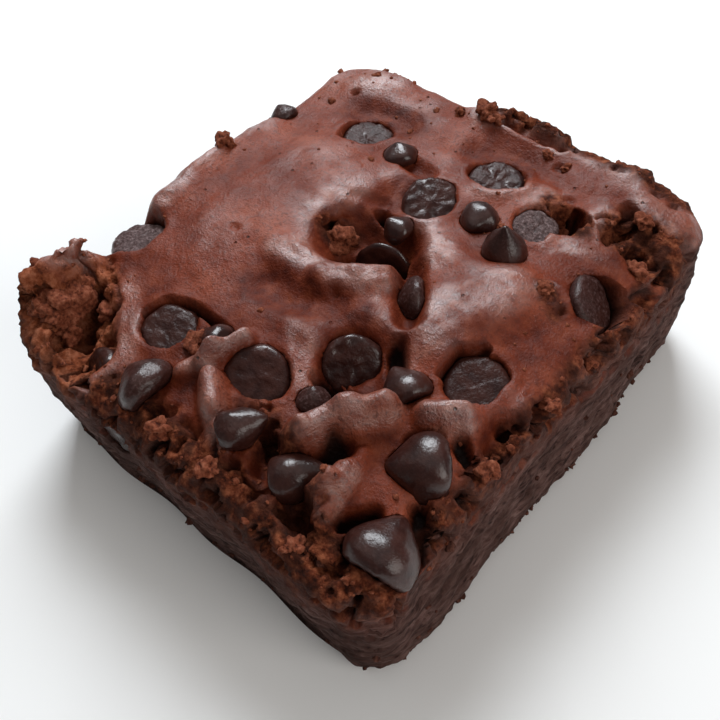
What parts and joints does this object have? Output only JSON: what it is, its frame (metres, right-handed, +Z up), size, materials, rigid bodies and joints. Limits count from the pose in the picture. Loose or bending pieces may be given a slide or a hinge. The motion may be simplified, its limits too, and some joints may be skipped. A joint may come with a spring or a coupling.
{
  "type": "chocolate brownie",
  "caption": "Square-cut chocolate brownie with a cracked, swollen crust and chocolate chips baked into its top.",
  "frame": {"origin": "middle of the flat base on which the brownie rests", "axes": "+Z up out of the crust, +Y along the longer cut side, +X towards the right cut side"},
  "size_m": [0.0722, 0.0808, 0.0324],
  "materials": {
    "cake": "satin baked crust with dry cut sides",
    "chocolate": "soft gloss chocolate, partly dull"
  },
  "bodies": {
    "root": {"brownie": "cake", "chip_01": "chocolate", "chip_02": "chocolate", "chip_03": "chocolate", "chip_04": "chocolate", "chip_05": "chocolate", "chip_06": "chocolate", "chip_07": "chocolate", "chip_08": "chocolate", "chip_09": "chocolate", "chip_10": "chocolate", "chip_11": "chocolate", "chip_12": "chocolate", "chip_13": "chocolate", "chip_14": "chocolate", "chip_15": "chocolate", "chip_16": "chocolate", "chip_17": "chocolate", "chip_18": "chocolate", "chip_19": "chocolate", "chip_20": "chocolate", "chip_21": "chocolate", "chip_22": "chocolate", "chip_23": "chocolate", "chip_24": "chocolate", "chip_25": "chocolate", "chip_26": "chocolate", "chip_27": "chocolate"}
  },
  "joints": []
}
